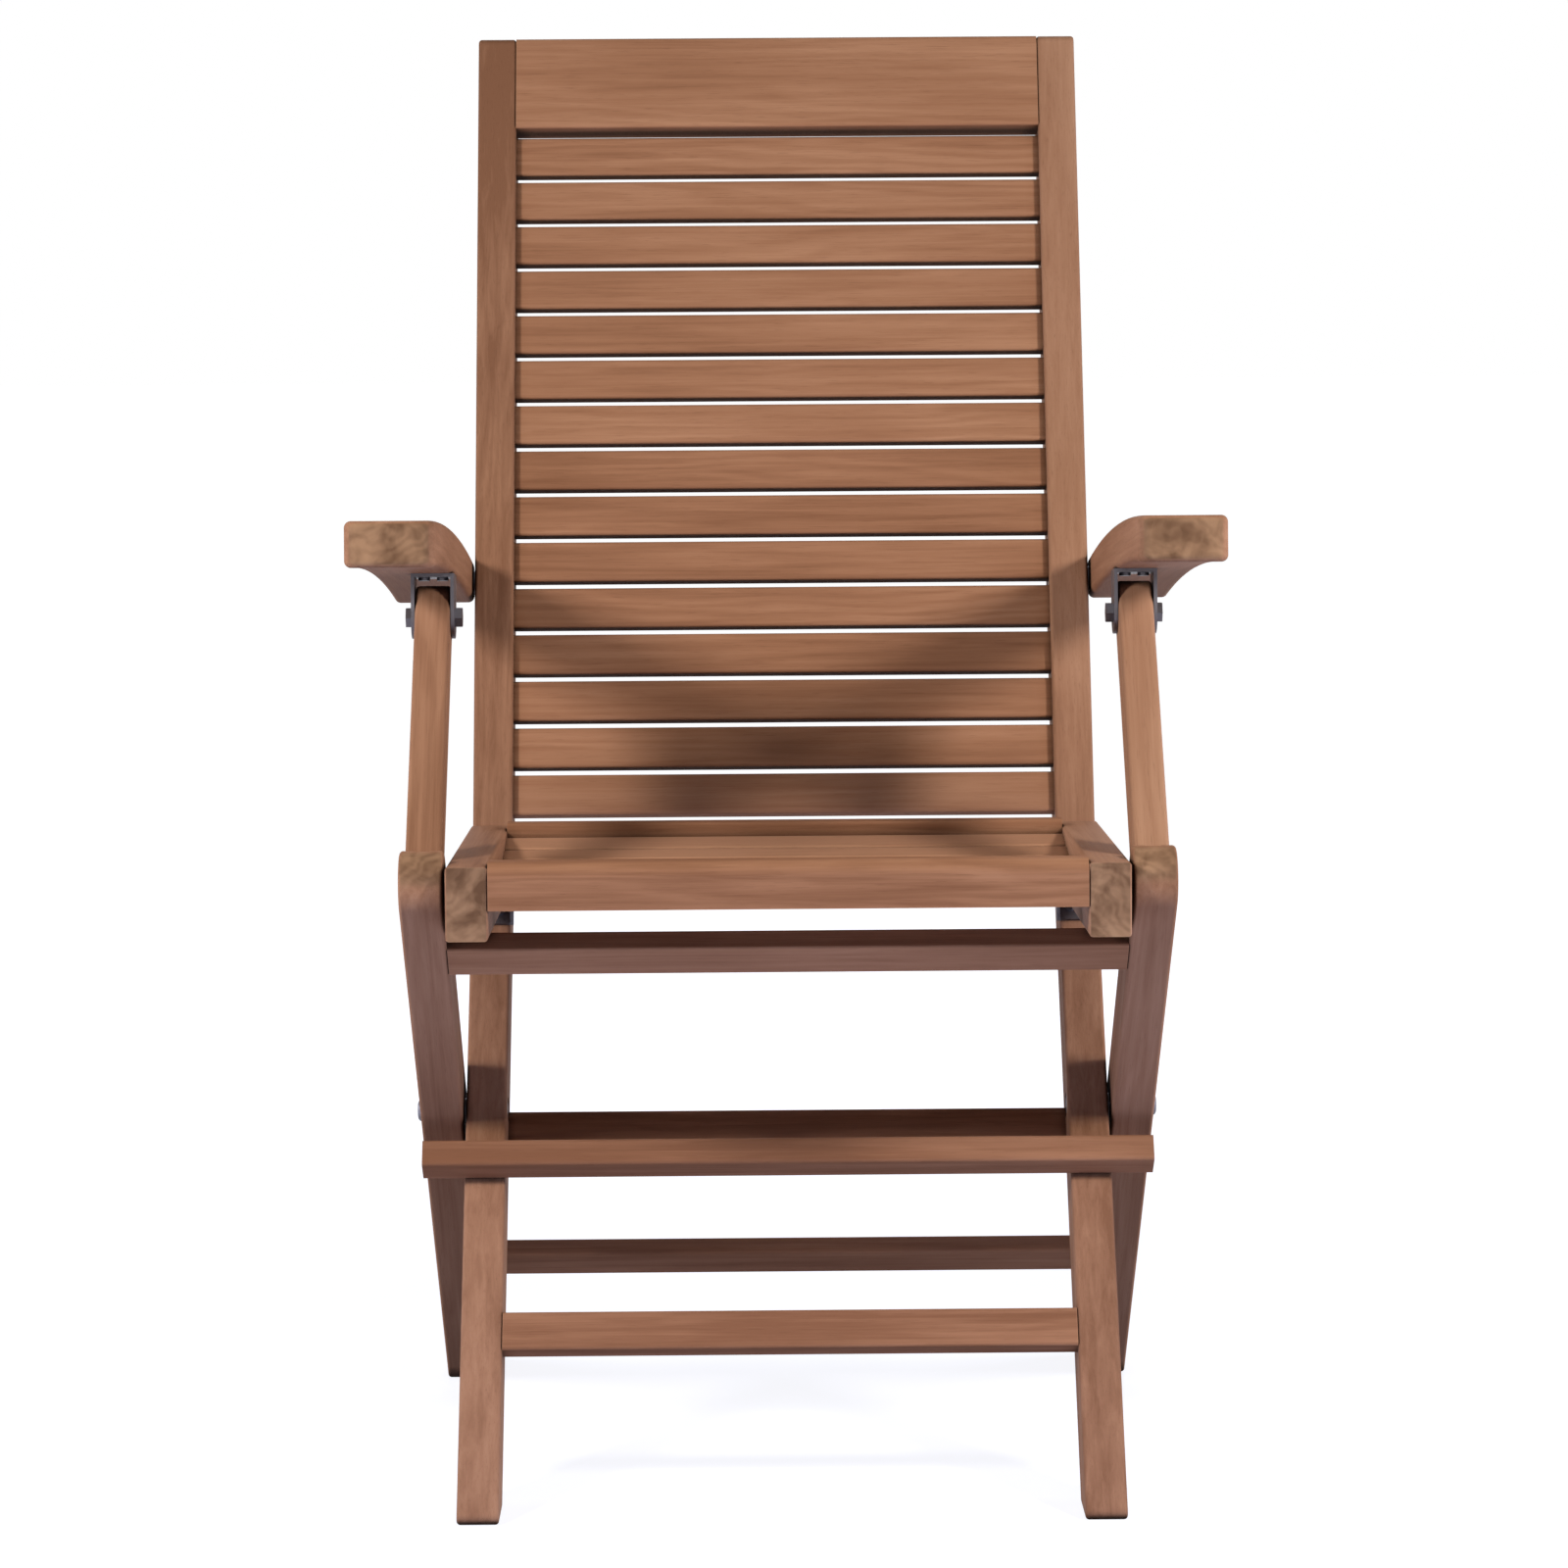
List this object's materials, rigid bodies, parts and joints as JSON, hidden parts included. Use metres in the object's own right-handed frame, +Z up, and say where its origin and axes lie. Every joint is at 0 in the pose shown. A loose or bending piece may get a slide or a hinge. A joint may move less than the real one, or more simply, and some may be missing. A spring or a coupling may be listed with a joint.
{
  "type": "folding armchair",
  "caption": "Folding wooden armchair with a tall slatted back, a slatted seat that swings up, hinged arms on struts, and rear legs that cross the front legs at a bolt.",
  "frame": {"origin": "middle of the chair's footprint box, on the floor", "axes": "-Y is the way the sitter faces, +Z is up, and +X is to the right as seen from the front; left and right in names are as seen from the front"},
  "size_m": [0.584, 0.6659, 1.0303],
  "materials": {
    "teak": "oiled, satin",
    "slat_teak": "oiled, satin",
    "steel": "dull grey plate"
  },
  "bodies": {
    "back": {"stile_left": "teak", "stile_right": "teak", "top_rail": "teak", "back_slat_01": "slat_teak", "back_slat_02": "slat_teak", "back_slat_03": "slat_teak", "back_slat_04": "slat_teak", "back_slat_05": "slat_teak", "back_slat_06": "slat_teak", "back_slat_07": "slat_teak", "back_slat_08": "slat_teak", "back_slat_09": "slat_teak", "back_slat_10": "slat_teak", "back_slat_11": "slat_teak", "back_slat_12": "slat_teak", "back_slat_13": "slat_teak", "back_slat_14": "slat_teak", "back_slat_15": "slat_teak", "front_stretcher": "teak", "pivot_stretcher": "teak", "front_brace": "teak", "brace_dowels": "teak", "seat_bracket_left": "steel", "seat_bracket_right": "steel", "seat_bracket_screws": "steel", "seat_pivot_pins": "steel", "leg_pivot_bolts": "steel", "leg_pivot_nuts": "steel", "leg_pivot_washers": "steel", "arm_pivot_bolts": "steel", "arm_pivot_nuts": "steel", "arm_pivot_washers": "steel"},
    "legs": {"rear_leg_left": "teak", "rear_leg_right": "teak", "upper_stretcher": "teak", "lower_stretcher": "teak"},
    "seat": {"seat_rail_left": "teak", "seat_rail_right": "teak", "seat_front_rail": "teak", "seat_slat_1": "slat_teak", "seat_slat_2": "slat_teak", "seat_slat_3": "slat_teak", "seat_slat_4": "slat_teak", "seat_slat_5": "slat_teak", "seat_slat_6": "slat_teak", "seat_slat_7": "slat_teak", "seat_rear_rail": "teak"},
    "arm_left": {"arm_left": "teak", "clevis_left": "steel", "clevis_bolt_left": "steel", "clevis_nut_left": "steel", "clevis_screws_left": "steel"},
    "arm_right": {"arm_right": "teak", "clevis_right": "steel", "clevis_bolt_right": "steel", "clevis_nut_right": "steel", "clevis_screws_right": "steel"},
    "strut_left": {"strut_left": "teak"},
    "strut_right": {"strut_right": "teak"}
  },
  "joints": [
    {"name": "leg_fold", "type": "hinge", "parent": "back", "child": "legs", "pos_m": [0, -0.056, 0.25229], "axis": [-1, 0, 0], "range_deg": [0, 65]},
    {"name": "seat_fold", "type": "hinge", "parent": "back", "child": "seat", "pos_m": [0, 0.02888, 0.43473], "axis": [-1, 0, 0], "range_deg": [0, 106]},
    {"name": "arm_left_lift", "type": "hinge", "parent": "back", "child": "arm_left", "pos_m": [0, 0.16032, 0.61938], "axis": [-1, 0, 0], "range_deg": [0, 104]},
    {"name": "arm_right_lift", "type": "hinge", "parent": "back", "child": "arm_right", "pos_m": [0, 0.16032, 0.61938], "axis": [-1, 0, 0], "range_deg": [0, 104]},
    {"name": "strut_left_swing", "type": "hinge", "parent": "arm_left", "child": "strut_left", "pos_m": [0, -0.10066, 0.61132], "axis": [1, 0, 0], "range_deg": [0, 124]},
    {"name": "strut_right_swing", "type": "hinge", "parent": "arm_right", "child": "strut_right", "pos_m": [0, -0.10066, 0.61132], "axis": [1, 0, 0], "range_deg": [0, 124]}
  ],
  "couplings": [
    {"joint": "seat_fold", "follows": "leg_fold", "ratio": 1.63},
    {"joint": "arm_left_lift", "follows": "leg_fold", "ratio": 1.6},
    {"joint": "arm_right_lift", "follows": "leg_fold", "ratio": 1.6},
    {"joint": "strut_left_swing", "follows": "leg_fold", "ratio": 1.9},
    {"joint": "strut_right_swing", "follows": "leg_fold", "ratio": 1.9}
  ]
}
